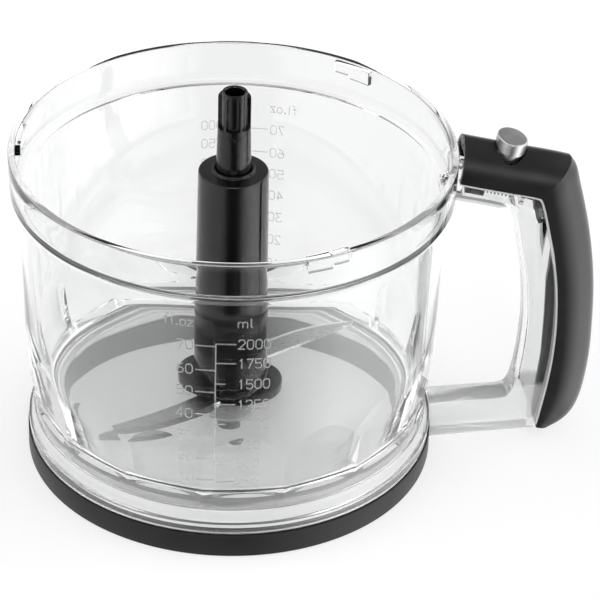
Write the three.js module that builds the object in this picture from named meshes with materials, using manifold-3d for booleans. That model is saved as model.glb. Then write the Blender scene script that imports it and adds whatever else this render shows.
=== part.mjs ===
// Food processor bowl with handle, drive spindle, S-blade and safety interlock.
// Millimetres, +Z up. Origin: centre of the base ring's underside. The handle points along +X.
import * as THREE from 'three';
import { mergeVertices } from 'three/addons/utils/BufferGeometryUtils.js';
import Module from 'manifold-3d';

const wasm = await Module();
wasm.setup();

// ---------------------------------------------------------------- driving dimensions
const SEG = 64;                 // segments round the bowl
const GAP = 0.3;                // clearance between neighbouring pieces

const RIM_R = 97.0;             // rim band outside radius
const RIM_TOP = 151.7;          // rim top height
const BAND_LOW = 132.4;         // rim band lower edge
const WALL_T = 2.7;             // bowl wall thickness
const FLOOR_TOP = 24.8;
const FLOOR_LOW = 22.3;
const FACETS = 16;              // flat facets round the lower wall
const FACET_LOW = 30.6;         // plain round band below this height
const FACET_TOP = 63.0;         // height where a facet leaves the wall
const FACET_R = 91.45;          // wall radius at that height
const FACET_SLOPE = 0.15;       // inward run per unit of drop
const LUG_AZ = [50.5, 170.5, -69.5];
const LUG_WIDTH = 11.5;         // degrees

const RING_R = 91.2;            // black base ring
const RING_H = 11.2;

const SHAFT_R = 4.5;            // spindle shaft in its bush
const SPIGOT_R = 7.65;
const SPLINE_R = 7.1;
const SPLINE_LOW = 162.0;
const SPLINE_CORE = 5.6;        // radius at the grooves' floor
const GROOVE_DEG = 50;          // width of one groove
const GROOVE_AZ = 20.6;         // azimuth of the first groove's middle
const SPINDLE_TOP = 178.5;
const SPLINES = 6;

const HUB_R_TOP = 15.4;
const HUB_R_LOW = 16.7;
const HUB_LOW = 26.8;
const HUB_TOP = 140.0;
const HUB_BORE = 8.1;
const BLADE_T = 1.5;
const BLADE_LOW_Z = 28.4;
const BLADE_UP_Z = 32.8;

const FRAME_HW = 6.8;           // handle frame half width
const FRAME_T = 2.1;            // handle frame wall
const COVER_HW = 11.65;         // handle cover half width
const COVER_T = 2.2;            // handle cover wall
const COVER_ARCH = 15.0;        // depth of the rounded back of the cover section
const COVER_HOLLOW = 10.8;      // depth of the same inside
const ARM_SLOPE = 12.7;         // fall of the top arm, degrees

const BUTTON_R = 6.8;           // half width along the arm
const BUTTON_OVAL = 1.21;       // its cap is longer across the arm
const BUTTON_RISE = 0.9;        // cap above the axis origin
const BUTTON_U = 121.0;
const BUTTON_Z = 153.1;

// ---------------------------------------------------------------- helpers
const D2R = Math.PI / 180;
const V2 = (x, y) => new THREE.Vector2(x, y);

function weld(g) {
  g = g.clone();
  for (const k of Object.keys(g.attributes)) if (k !== 'position') g.deleteAttribute(k);
  g = mergeVertices(g, 1e-4);
  const src = g.index.array, pos = g.attributes.position, idx = [];
  for (let i = 0; i < src.length; i += 3) {
    const [a, b, c] = [src[i], src[i + 1], src[i + 2]];
    if (a !== b && b !== c && c !== a) idx.push(a, b, c);
  }
  let vol = 0;
  const A = new THREE.Vector3(), B = new THREE.Vector3(), C = new THREE.Vector3();
  for (let i = 0; i < idx.length; i += 3) {
    A.fromBufferAttribute(pos, idx[i]); B.fromBufferAttribute(pos, idx[i + 1]); C.fromBufferAttribute(pos, idx[i + 2]);
    vol += A.dot(B.cross(C));
  }
  if (vol < 0) for (let i = 0; i < idx.length; i += 3) [idx[i + 1], idx[i + 2]] = [idx[i + 2], idx[i + 1]];
  g.setIndex(idx);
  return g;
}

function solid(g) {
  const w = weld(g);
  return new wasm.Manifold(new wasm.Mesh({
    numProp: 3,
    vertProperties: Float32Array.from(w.attributes.position.array),
    triVerts: Uint32Array.from(w.index.array),
  }));
}

function geometry(m) {
  const k = m.getMesh();
  const g = new THREE.BufferGeometry();
  g.setAttribute('position', new THREE.BufferAttribute(Float32Array.from(k.vertProperties), 3));
  g.setIndex(new THREE.BufferAttribute(Uint32Array.from(k.triVerts), 1));
  g.computeVertexNormals();
  return g;
}

// closed profile of [r, z] pairs turned about Z
function turned(profile, seg = SEG) {
  const pts = profile.map(([r, z]) => V2(r, z));
  const onAxis = profile[0][0] === 0 && profile[profile.length - 1][0] === 0;
  if (!onAxis) pts.push(pts[0].clone());
  return new THREE.LatheGeometry(pts, seg).rotateX(Math.PI / 2);
}

// polygon of [u, z] pairs in the handle plane, thickened along Y from y0 to y1
function slab(poly, y0, y1) {
  const g = new THREE.ExtrudeGeometry(new THREE.Shape(poly.map(([u, z]) => V2(u, z))), { depth: y1 - y0, bevelEnabled: false });
  return g.rotateX(Math.PI / 2).translate(0, y1, 0);
}

// polygon of [x, y] pairs thickened along Z
function plate(poly, z0, z1, hole = 0, hseg = 32) {
  const s = new THREE.Shape(poly.map(([x, y]) => V2(x, y)));
  if (hole) {
    const h = new THREE.Path(); h.absarc(0, 0, hole, 0, 2 * Math.PI, true); s.holes.push(h);
  }
  return new THREE.ExtrudeGeometry(s, { depth: z1 - z0, bevelEnabled: false, curveSegments: hseg }).translate(0, 0, z0);
}

function rod(r, from, to, seg = 24) {
  const a = new THREE.Vector3(...from), b = new THREE.Vector3(...to), d = b.clone().sub(a);
  const g = new THREE.CylinderGeometry(r, r, d.length(), seg);
  g.applyQuaternion(new THREE.Quaternion().setFromUnitVectors(new THREE.Vector3(0, 1, 0), d.clone().normalize()));
  return g.translate((a.x + b.x) / 2, (a.y + b.y) / 2, (a.z + b.z) / 2);
}

class Helix extends THREE.Curve {
  constructor(r, pitch, turns, low) { super(); Object.assign(this, { r, pitch, turns, low }); }
  getPoint(t, target = new THREE.Vector3()) {
    const a = 2 * Math.PI * this.turns * t;
    return target.set(this.r * Math.cos(a), this.r * Math.sin(a), this.low + this.pitch * this.turns * t);
  }
}
function spring(r, wire, length, turns) {
  const ring = new THREE.Shape();
  ring.absarc(0, 0, wire, 0, 2 * Math.PI, false);
  return new THREE.ExtrudeGeometry(ring, {
    extrudePath: new Helix(r, (length - 2 * wire) / turns, turns, wire), steps: Math.round(turns * 8),
    bevelEnabled: false, curveSegments: 3,
  });
}

const root = new THREE.Group();
function piece(name, geo, color, roughness, metalness = 0, extra = {}) {
  const body = weld(geo);
  body.computeVertexNormals();
  const mesh = new THREE.Mesh(body, new THREE.MeshStandardMaterial({ color, roughness, metalness, ...extra }));
  mesh.name = name;
  root.add(mesh);
  return mesh;
}
const CLEAR = { transparent: true, opacity: 0.3 };

// ---------------------------------------------------------------- bowl
const wallR = z => FACET_R + (z - FACET_TOP) * 0.0165;     // outside of the plain wall
const bowlProfile = [
  [90.7, 11.5], [90.7, 16.5], [89.4, 17.5], [88.15, 22.3],
  [88.2, FACET_LOW - 1.2], [90.0, FACET_LOW], [FACET_R, FACET_TOP], [wallR(95), 95], [92.5, 130.6],
  [94.6, 131.2], [96.2, BAND_LOW], [96.8, 136], [RIM_R, 150.5], [96.4, RIM_TOP], [94.4, RIM_TOP],
  [93.9, 151.2], [93.75, 135.7], [92.15, 134.6], [90.6, 132.9], [89.9, 130.5],
  [89.6, 100], [88.6, 62.5], [84.7, 36.5], [83.9, 32.0], [82.0, 28.4], [78.8, 25.8], [74.5, FLOOR_TOP],
  [9.3, FLOOR_TOP], [9.3, 12.0], [11.5, 12.0], [11.5, FLOOR_LOW],
  [78.0, FLOOR_LOW], [82.6, 20.6], [84.3, 17.6], [87.2, 15.2], [87.2, 11.5],
];
let bowl = solid(turned(bowlProfile));
const facetR = z => FACET_R - (FACET_TOP - z) * FACET_SLOPE;
for (let i = 0; i < FACETS; i++) {
  const cut = slab([[facetR(FACET_LOW), FACET_LOW], [88.3, FACET_LOW - 1.3], [112, FACET_LOW - 1.3], [112, 84], [facetR(84), 84]], -23, 23).rotateZ(i * 2 * Math.PI / FACETS);
  bowl = bowl.subtract(solid(cut));
}
function arcBlock(az, width, r0, r1, z0, z1, seg = 4) {
  const p = [];
  for (let i = 0; i <= seg; i++) { const a = (az + width * (i / seg - 0.5)) * D2R; p.push([r1 * Math.cos(a), r1 * Math.sin(a)]); }
  for (let i = seg; i >= 0; i--) { const a = (az + width * (i / seg - 0.5)) * D2R; p.push([r0 * Math.cos(a), r0 * Math.sin(a)]); }
  return plate(p, z0, z1);
}
for (const az of LUG_AZ) {
  // a tab with a stepped lower edge: the deeper part on one side
  bowl = bowl.add(solid(arcBlock(az, LUG_WIDTH, 91.6, 95.0, 145.8, 150.8)));
  bowl = bowl.add(solid(arcBlock(az - LUG_WIDTH * 0.2, LUG_WIDTH * 0.6, 91.6, 95.0, 144.4, 148.0, 3)));
}
piece('bowl', geometry(bowl), 0xf2f4f5, 0.05, 0, CLEAR);

piece('base_ring', turned([
  [91.2, 0.5], [RING_R, 10.6], [90.7, RING_H], [86.9, RING_H], [86.9, 12.6], [85.7, 12.6], [85.1, 0.5], [85.6, 0], [90.7, 0],
], SEG), 0x1b1b1c, 0.35);

// ---------------------------------------------------------------- spindle and its bearing
piece('spindle_bush', turned([[9.0, 12.4], [9.0, 25.1], [11.0, 25.1], [11.0, 26.2], [4.8, 26.2], [4.8, 12.4]], 40), 0x9fa3a6, 0.4, 0.6);
piece('thrust_washer', turned([[8.2, 10.5], [8.2, 12.1], [4.8, 12.1], [4.8, 10.5]], 40), 0xc9ccce, 0.3, 1);
{
  const c = new THREE.Shape();
  c.absarc(0, 0, 6.6, 25 * D2R, 335 * D2R, false);
  c.absarc(0, 0, 4.8, 335 * D2R, 25 * D2R, true);
  piece('retaining_ring', new THREE.ExtrudeGeometry(c, { depth: 1.2, bevelEnabled: false, curveSegments: 24 }).translate(0, 0, 9.0), 0x8d9194, 0.35, 1);
}
let spindle = solid(turned([
  [0, 8.5], [SHAFT_R, 8.5], [SHAFT_R, 26.5], [SPIGOT_R, 26.5], [SPIGOT_R, 143.0], [7.15, SPLINE_LOW], [SPLINE_R, SPINDLE_TOP - 1.6],
  [5.5, SPINDLE_TOP], [4.45, SPINDLE_TOP], [4.2, SPINDLE_TOP - 0.4], [4.2, SPINDLE_TOP - 14], [0, SPINDLE_TOP - 14],
], 36));
for (let i = 0; i < SPLINES; i++) {
  const groove = arcBlock(GROOVE_AZ + i * 360 / SPLINES, GROOVE_DEG, SPLINE_CORE, 9, SPLINE_LOW, SPINDLE_TOP + 3, 4);
  spindle = spindle.subtract(solid(groove));
}
piece('spindle', geometry(spindle), 0x161617, 0.22);
{
  let c = solid(turned([[0, 1.0], [5.3, 1.0], [5.7, 1.4], [5.7, 8.2], [0, 8.2]], 36));
  c = c.subtract(solid(new THREE.CylinderGeometry(4.05, 4.05, 12, 6).rotateX(Math.PI / 2).translate(0, 0, 0.9)));
  piece('drive_coupling', geometry(c), 0x2c2d2f, 0.35);
}

// ---------------------------------------------------------------- S-blade
const bladePlan = [
  [3.5, 12.9], [5.5, 17.0], [8.5, 21.6], [13.6, 25.4], [20, 29.2], [31, 35.4], [42, 39.5], [51, 41.8], [57.5, 42.6], [60.6, 42.0],
  [59.6, 39.9], [53.5, 35.4], [44, 29.6], [34, 23.4], [24.7, 17.8], [16.6, 12.4], [12.6, 8.2], [12.9, 3.0],
];
function rootRing(poly, grow) {
  // the blade's outline moved outwards by grow, vertex by vertex
  const n = poly.length;
  let area = 0;
  for (let i = 0; i < n; i++) { const p = poly[i], q = poly[(i + 1) % n]; area += p[0] * q[1] - q[0] * p[1]; }
  const w = Math.sign(area);
  return poly.map((p, i) => {
    const a = poly[(i + n - 1) % n], c = poly[(i + 1) % n];
    const e1 = [p[0] - a[0], p[1] - a[1]], e2 = [c[0] - p[0], c[1] - p[1]];
    const l1 = Math.hypot(...e1), l2 = Math.hypot(...e2);
    const n1 = [w * e1[1] / l1, -w * e1[0] / l1], n2 = [w * e2[1] / l2, -w * e2[0] / l2];
    const m = [n1[0] + n2[0], n1[1] + n2[1]], k = 1 + n1[0] * n2[0] + n1[1] * n2[1];
    return [p[0] + grow * m[0] / k, p[1] + grow * m[1] / k];
  });
}
function bladeSolid(z, turn, grow = 0) {
  const z0 = z - grow, z1 = z + BLADE_T + grow;
  let b = solid(plate(rootRing(bladePlan, grow), z0, z1));
  b = b.add(solid(turned([[13.4 + grow, z0], [13.4 + grow, z1], [7.4, z1], [7.4, z0]], 40)));
  b = b.subtract(solid(turned([[0, z0 - 1], [grow ? 6.0 : 8.6, z0 - 1], [grow ? 6.0 : 8.6, z1 + 1], [0, z1 + 1]], 40)));
  return turn ? b.rotate([0, 0, 180]) : b;
}
function lobe(sign, halfL, halfW, z0, z1) {
  const p = [];
  for (let i = 0; i < 28; i++) {
    const a = i / 28 * 2 * Math.PI;
    const ca = Math.cos(a), sa = Math.sin(a);
    const L = ca * sign > 0 ? halfL : halfW;
    p.push([L * Math.sign(ca) * Math.pow(Math.abs(ca), 0.85), halfW * Math.sign(sa) * Math.pow(Math.abs(sa), 0.9)]);
  }
  return plate(p, z0, z1);
}
let hub = solid(turned([
  [HUB_R_LOW, HUB_LOW], [HUB_R_TOP, 137.4], [15.1, 139.2], [14.3, HUB_TOP], [9.5, HUB_TOP], [9.2, 141.0], [8.8, 141.3],
  [8.3, 141.3], [HUB_BORE, 141.0], [HUB_BORE, 134.0], [12.4, 133.4], [12.4, 41.0], [HUB_BORE, 40.4], [HUB_BORE, HUB_LOW],
], 40));
const boreCut = solid(turned([[0, 20], [HUB_BORE, 20], [HUB_BORE, 40], [0, 40]], 40));
hub = hub.add(solid(lobe(1, 23.6, 16.9, HUB_LOW, 31.6))).add(solid(lobe(-1, 23.6, 16.9, 31.2, 36.6))).subtract(boreCut);
hub = hub.subtract(bladeSolid(BLADE_LOW_Z, true, 0.3)).subtract(bladeSolid(BLADE_UP_Z, false, 0.3));
piece('blade_hub', geometry(hub), 0x121213, 0.12);
piece('blade_lower', geometry(bladeSolid(BLADE_LOW_Z, true)), 0xb9bcbe, 0.25, 1);
piece('blade_upper', geometry(bladeSolid(BLADE_UP_Z, false)), 0xb9bcbe, 0.25, 1);

// ---------------------------------------------------------------- handle frame
const frameOutline = [
  [88, 127.9], [96.9, 126.2], [107.8, 123.8], [116.9, 121.5], [120.6, 119.6], [122.6, 116.6], [123.6, 113.2], [125.2, 107.0], [127.5, 95],
  [129.6, 84], [130.9, 71.5], [131.5, 60], [130.9, 45], [129.9, 35], [128.6, 27.5], [126.8, 22.9], [123.2, 20.6], [108, 19.6], [84, 18.3],
  [84, 0.6], [92, 0.6], [139.2, 4.0], [139.2, 10.6], [142.4, 11.6], [144.6, 16], [147.5, 31], [149.1, 51.8], [149.3, 68],
  [148.4, 80], [146.8, 93], [152.6, 93.4], [152.6, 95.6], [146.2, 97.6], [145.2, 101],
  [141.6, 118], [139.2, 127.0], [136.4, 131.6], [121, 135.9], [98, 141.0], [86, 143.6],
];
let frame = solid(slab(frameOutline, -FRAME_HW, FRAME_HW));
const channel = [
  [99.6, 160], [99.6, 127.8], [108.2, 125.9], [117.6, 123.5], [122.4, 121.0], [124.7, 117.6], [125.8, 113.6], [127.3, 107.4], [129.6, 95.3],
  [131.7, 84.2], [133.0, 71.6], [133.6, 60], [133.0, 44.8], [132.0, 34.6], [131.4, 29.4], [135.6, 19.0], [136.2, -6], [160, -6], [160, 92.6],
  [147.2, 92.6], [147.2, 93.0], [146.9, 95.9], [160, 95.9], [160, 160],
];
frame = frame.subtract(solid(slab(channel, -FRAME_HW + FRAME_T, FRAME_HW - FRAME_T)));
// shelf for the return spring of the push rod
frame = frame.add(solid(slab([[147.0, 93.4], [152.6, 93.4], [152.6, 95.4], [147.0, 95.4]], -FRAME_HW, FRAME_HW)));
// the two feet follow the bowl's outside
const clearOfBowl = solid(turned([
  [0, -5], [91.5, -5], [91.5, 11.4], [91.1, 17.0], [89.0, 22.4], [91.6, 26], [FACET_R + 0.35, FACET_TOP], [92.95, 130.2], [94.9, 130.8],
  [96.6, 132.0], [97.2, 136], [97.4, 160], [0, 160],
], SEG));
frame = frame.subtract(clearOfBowl);
// pivot holes of the lever
const PIVOT = [135.8, 117.5];
frame = frame.subtract(solid(rod(1.8, [PIVOT[0], -9, PIVOT[1]], [PIVOT[0], 9, PIVOT[1]], 20)));
// opening in the bowl end for the slider's tongue
frame = frame.subtract(solid(slab([[90, 138.6], [100.6, 135.6], [100.6, 150], [90, 150]], -4.7, 4.7)));
piece('handle_frame', geometry(frame), 0xf0f2f3, 0.06, 0, CLEAR);

// ---------------------------------------------------------------- handle cover
// pairs of [inner edge u, z, ridge u, z, arch depth]
const coverStations = [
  [97.6, 137.0, 99.6, 154.3], [109, 134.3, 113.5, 151.1], [121, 131.6, 128.5, 147.7], [129.0, 129.9, 140.0, 145.1], [133.4, 128.6, 147.4, 143.1],
  [134.6, 126.6, 150.2, 138.6], [136.5, 120.5, 152.4, 130.5], [139.0, 110.0, 155.8, 117.5], [141.6, 98.5, 158.9, 103.2], [143.7, 85.0, 161.4, 87.6],
  [144.9, 72.0, 162.8, 73.0], [145.3, 58.0, 163.5, 57.4], [144.8, 44.0, 163.4, 42.0], [143.4, 30.5, 162.2, 27.6], [141.9, 20.5, 160.2, 17.0],
  [140.9, 14.2, 157.4, 10.4], [140.2, 10.2, 153.6, 6.7], [139.6, 7.0, 148.6, 4.6],
];
function coverLoft(stations, hw, arch, inset, square) {
  // half-round back on straight sides, closed across the inner edge
  const N = 18, pos = [], idx = [];
  const ring = (L, O) => {
    const dx = O[0] - L[0], dz = O[1] - L[1], len = Math.hypot(dx, dz), ux = dx / len, uz = dz / len;
    const H = len - inset, a = Math.min(arch, H * 0.86), base = H - a, low = inset ? -8 : 0;
    const out = [];
    out.push([L[0] + ux * low, -hw, L[1] + uz * low]);
    for (let i = 0; i <= N; i++) {
      const t = Math.PI * i / N;
      const c = Math.cos(t), s = Math.sin(t);
      const y = -hw * Math.sign(c) * Math.pow(Math.abs(c), square), h = base + a * Math.pow(s, square);
      out.push([L[0] + ux * h, y, L[1] + uz * h]);
    }
    out.push([L[0] + ux * low, hw, L[1] + uz * low]);
    return out;
  };
  const rings = stations.map(s => ring([s[0], s[1]], [s[2], s[3]]));
  const M = rings[0].length;
  rings.forEach(r => r.forEach(p => pos.push(...p)));
  for (let k = 0; k + 1 < rings.length; k++) for (let i = 0; i < M; i++) {
    const j = (i + 1) % M, a = k * M + i, b = k * M + j, c = (k + 1) * M + j, d = (k + 1) * M + i;
    idx.push(a, b, c, a, c, d);
  }
  const cap = (k, flip) => {
    for (let i = 1; i + 1 < M; i++) flip ? idx.push(k * M, k * M + i + 1, k * M + i) : idx.push(k * M, k * M + i, k * M + i + 1);
  };
  cap(0, true); cap(rings.length - 1, false);
  const g = new THREE.BufferGeometry();
  g.setAttribute('position', new THREE.Float32BufferAttribute(pos, 3));
  g.setIndex(idx);
  return g;
}
let cover = solid(coverLoft(coverStations, COVER_HW, COVER_ARCH, 0, 1.0));
const hollow = coverStations.map(s => s.slice());
hollow[0] = [99.9, 136.5, 101.8, 153.8];
hollow[hollow.length - 1] = [140.3, 10.4, 152.8, 8.2];
hollow[hollow.length - 2] = [140.9, 14.0, 156.6, 10.6];
hollow[hollow.length - 3] = [141.4, 17.6, 158.8, 14.0];
cover = cover.subtract(solid(coverLoft(hollow, COVER_HW - COVER_T, COVER_HOLLOW, COVER_T, 0.86)));
// window in the bowl end for the lid's tab
cover = cover.subtract(solid(slab([[95, 130], [101.5, 130], [101.5, 148.6], [95, 148.6]], -7.3, 7.3)));
// slot for the push rod's foot
cover = cover.subtract(solid(slab([[137.5, -2], [145.4, -2], [145.4, 12.5], [137.5, 12.5]], -3.4, 3.4)));
// button hole
const n = [Math.sin(ARM_SLOPE * D2R), Math.cos(ARM_SLOPE * D2R)];
const e = [Math.cos(ARM_SLOPE * D2R), -Math.sin(ARM_SLOPE * D2R)];
const onButton = t => [BUTTON_U + n[0] * t, 0, BUTTON_Z + n[1] * t];
cover = cover.subtract(solid(rod(BUTTON_R + 0.6, onButton(-10.5), onButton(4), 36).scale(1, (BUTTON_R * BUTTON_OVAL + 0.6) / (BUTTON_R + 0.6), 1)));
piece('handle_cover', geometry(cover), 0x1c1c1d, 0.35);

// ---------------------------------------------------------------- release button
function tilted(g) {                       // local +Z onto the button's axis, origin at its top centre
  return g.rotateY(ARM_SLOPE * D2R).translate(BUTTON_U, 0, BUTTON_Z);
}
// oval cap on a round hollow skirt
const cap = turned([[0, BUTTON_RISE], [6.2, BUTTON_RISE], [6.65, BUTTON_RISE - 0.25], [BUTTON_R, BUTTON_RISE - 0.7], [BUTTON_R, -5.2], [0, -5.2]], 40).scale(1, BUTTON_OVAL, 1);
const skirt = turned([[0, -3], [BUTTON_R - 0.03, -3], [BUTTON_R - 0.03, -9.4], [5.6, -9.4], [5.6, -5.4], [0, -5.4]], 40);
piece('release_button', tilted(geometry(solid(cap).add(solid(skirt)))), 0xb4b6b8, 0.3, 1);
piece('button_guide', tilted(turned([[8.2, -11.0], [8.2, -15.3], [3.0, -15.3], [3.0, -14.1], [7.1, -14.1], [7.1, -11.0]], 40)), 0x202021, 0.5);
piece('button_spring', tilted(spring(4.2, 0.45, 8.1, 4.5).translate(0, 0, -13.8)), 0xa8abad, 0.3, 1);

// ---------------------------------------------------------------- interlock
const arm = (t, h) => [97.5 + e[0] * t + n[0] * h, 137.0 + e[1] * t + n[1] * h];   // along and across the top arm
let slider = solid(slab([arm(5.0, -7.6), arm(13.6, -7.6), arm(13.6, -3.6), arm(8.0, -3.6), arm(8.0, 9.5), arm(5.0, 9.5)], -3.9, 3.9));
const p0 = arm(13, -5.7), p1 = arm(36.3, -5.7);
slider = slider.add(solid(rod(1.4, [p0[0], 0, p0[1]], [p1[0], 0, p1[1]], 20)));
piece('interlock_slider', geometry(slider), 0x1d1d1e, 0.4);
{
  const s = arm(14.0, -5.7);
  piece('slider_spring', spring(2.3, 0.4, 12.4, 7).rotateY((90 + ARM_SLOPE) * D2R).translate(s[0], 0, s[1]), 0xa8abad, 0.3, 1);
}
let bracket = solid(slab([arm(29.8, -8.0), arm(31.6, -8.0), arm(31.6, -2.4), arm(29.8, -2.4)], -4.4, 4.4));
bracket = bracket.subtract(solid(rod(1.8, [arm(28, -5.7)[0], 0, arm(28, -5.7)[1]], [arm(33, -5.7)[0], 0, arm(33, -5.7)[1]], 20)));
piece('slider_bracket', geometry(bracket), 0xe8eaeb, 0.1, 0, CLEAR);
let lever = solid(slab([
  [132.2, 124.8], [134.2, 125.0], [136.4, 121.2], [138.6, 118.9], [144.0, 118.4], [144.6, 117.4], [144.0, 116.2], [138.8, 115.4],
  [137.8, 111.8], [134.6, 111.4], [132.6, 115.6], [131.8, 120.6],
], -3.6, 3.6));
lever = lever.subtract(solid(rod(1.8, [PIVOT[0], -9, PIVOT[1]], [PIVOT[0], 9, PIVOT[1]], 20)));
piece('interlock_lever', geometry(lever), 0x4a4b4d, 0.5);
piece('lever_pin', rod(1.5, [PIVOT[0], -6.6, PIVOT[1]], [PIVOT[0], 6.6, PIVOT[1]], 20), 0xb9bcbe, 0.3, 1);
piece('push_rod', slab([
  [142.0, 115.6], [141.8, 101], [141.0, 90], [140.2, 80], [140.5, 61], [140.3, 41], [138.8, 23], [137.9, 12.0], [138.6, 8.6], [139.7, 5.4],
  [142.6, 5.4], [142.8, 13.2], [143.6, 23.4], [144.9, 41], [145.2, 61], [145.0, 76], [145.6, 90], [145.9, 101], [145.8, 110.4], [152.0, 110.4],
  [152.0, 112.4], [145.6, 113.2], [145.4, 115.6],
], -2.7, 2.7), 0x3a3b3d, 0.5);
piece('rod_spring', spring(2.2, 0.4, 14.2, 7).translate(149.4, 0, 95.9), 0xa8abad, 0.3, 1);

export default root;
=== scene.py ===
import math
import bpy
import bmesh
import numpy as np
from mathutils import Matrix, Vector


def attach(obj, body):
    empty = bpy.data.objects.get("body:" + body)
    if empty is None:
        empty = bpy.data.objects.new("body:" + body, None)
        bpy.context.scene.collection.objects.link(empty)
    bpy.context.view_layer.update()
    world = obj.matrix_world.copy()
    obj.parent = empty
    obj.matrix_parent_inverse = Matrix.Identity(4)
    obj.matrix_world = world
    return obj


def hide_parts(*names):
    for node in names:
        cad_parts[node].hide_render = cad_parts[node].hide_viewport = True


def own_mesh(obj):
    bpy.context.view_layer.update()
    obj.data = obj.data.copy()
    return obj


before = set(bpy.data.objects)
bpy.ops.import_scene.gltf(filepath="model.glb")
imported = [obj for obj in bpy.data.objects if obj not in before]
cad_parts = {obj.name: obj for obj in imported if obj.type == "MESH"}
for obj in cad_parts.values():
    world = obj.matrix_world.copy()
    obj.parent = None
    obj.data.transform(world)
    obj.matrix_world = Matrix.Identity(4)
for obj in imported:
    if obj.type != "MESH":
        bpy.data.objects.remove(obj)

MM = 0.001
D2R = math.pi / 180.0
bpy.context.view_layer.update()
COLL = bpy.context.scene.collection

# ------------------------------------------------------------------ materials
def new_mat(name):
    m = bpy.data.materials.new(name)
    m.use_nodes = True
    nt = m.node_tree
    nt.nodes.clear()
    out = nt.nodes.new("ShaderNodeOutputMaterial")
    b = nt.nodes.new("ShaderNodeBsdfPrincipled")
    nt.links.new(b.outputs["BSDF"], out.inputs["Surface"])
    return m, nt, b


def noise(nt, scale, detail=3.0, rough=0.5, stretch=(1, 1, 1)):
    tc = nt.nodes.new("ShaderNodeTexCoord")
    mp = nt.nodes.new("ShaderNodeMapping")
    mp.inputs["Scale"].default_value = stretch
    n = nt.nodes.new("ShaderNodeTexNoise")
    n.inputs["Scale"].default_value = scale
    n.inputs["Detail"].default_value = detail
    n.inputs["Roughness"].default_value = rough
    nt.links.new(tc.outputs["Object"], mp.inputs["Vector"])
    nt.links.new(mp.outputs["Vector"], n.inputs["Vector"])
    return n


def ramp_value(nt, src, lo, hi, fmin=0.3, fmax=0.7):
    r = nt.nodes.new("ShaderNodeMapRange")
    r.inputs["From Min"].default_value = fmin
    r.inputs["From Max"].default_value = fmax
    r.inputs["To Min"].default_value = lo
    r.inputs["To Max"].default_value = hi
    nt.links.new(src.outputs["Fac"] if "Fac" in src.outputs else src.outputs[0], r.inputs["Value"])
    return r


def ramp_color(nt, src, c0, c1, p0=0.3, p1=0.7):
    r = nt.nodes.new("ShaderNodeValToRGB")
    r.color_ramp.elements[0].position = p0
    r.color_ramp.elements[0].color = (*c0, 1)
    r.color_ramp.elements[1].position = p1
    r.color_ramp.elements[1].color = (*c1, 1)
    nt.links.new(src.outputs["Fac"], r.inputs["Fac"])
    return r


def add_bump(nt, b, src, strength, dist):
    k = nt.nodes.new("ShaderNodeBump")
    k.inputs["Strength"].default_value = strength
    k.inputs["Distance"].default_value = dist
    nt.links.new(src.outputs["Fac"], k.inputs["Height"])
    nt.links.new(k.outputs["Normal"], b.inputs["Normal"])


def plastic(name, c0, c1, r0, r1, scale=60, grain=None, spec=0.5, coat=0.0):
    m, nt, b = new_mat(name)
    n = noise(nt, scale, 4.0)
    nt.links.new(ramp_color(nt, n, c0, c1).outputs["Color"], b.inputs["Base Color"])
    nt.links.new(ramp_value(nt, n, r0, r1).outputs["Result"], b.inputs["Roughness"])
    b.inputs["Specular IOR Level"].default_value = spec
    b.inputs["Coat Weight"].default_value = coat
    if grain:
        g = noise(nt, grain[0], 2.0, 0.6)
        add_bump(nt, b, g, grain[1], grain[2])
    return m


def clear(name, tint0, tint1, r0, r1, ior=1.5, haze=0.0, low=None):
    """Clear moulding; low = (z in m, haze of the floor plate, haze of the foot) sets the milkier look there."""
    m, nt, b = new_mat(name)
    n = noise(nt, 18.0, 2.0)
    nt.links.new(ramp_color(nt, n, tint0, tint1).outputs["Color"], b.inputs["Base Color"])
    nt.links.new(ramp_value(nt, n, r0, r1).outputs["Result"], b.inputs["Roughness"])
    b.inputs["Transmission Weight"].default_value = 1.0 - haze
    b.inputs["IOR"].default_value = ior
    if low:
        def between(sock, lo, hi, a, b):
            mr = nt.nodes.new("ShaderNodeMapRange")
            mr.interpolation_type = "SMOOTHSTEP"
            for key, v in (("From Min", lo), ("From Max", hi), ("To Min", a), ("To Max", b)):
                mr.inputs[key].default_value = v
            nt.links.new(sock, mr.inputs["Value"])
            return mr.outputs["Result"]

        tc = nt.nodes.new("ShaderNodeTexCoord")
        sp = nt.nodes.new("ShaderNodeSeparateXYZ")
        flat = nt.nodes.new("ShaderNodeVectorMath")
        flat.operation = "MULTIPLY"
        flat.inputs[1].default_value = (1, 1, 0)
        ln = nt.nodes.new("ShaderNodeVectorMath")
        ln.operation = "LENGTH"
        nt.links.new(tc.outputs["Object"], sp.inputs[0])
        nt.links.new(tc.outputs["Object"], flat.inputs[0])
        nt.links.new(flat.outputs["Vector"], ln.inputs[0])
        plate = between(ln.outputs["Value"], 0.0795, 0.083, low[1], low[2])
        foot = between(sp.outputs["Z"], low[0] - 0.002, low[0] + 0.002, 1.0, 0.0)
        part = nt.nodes.new("ShaderNodeMath")
        part.operation = "MULTIPLY"
        nt.links.new(plate, part.inputs[0])
        nt.links.new(foot, part.inputs[1])
        left = nt.nodes.new("ShaderNodeMath")
        left.operation = "SUBTRACT"
        left.inputs[0].default_value = 1.0
        nt.links.new(part.outputs[0], left.inputs[1])
        nt.links.new(left.outputs[0], b.inputs["Transmission Weight"])
    return m


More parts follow.
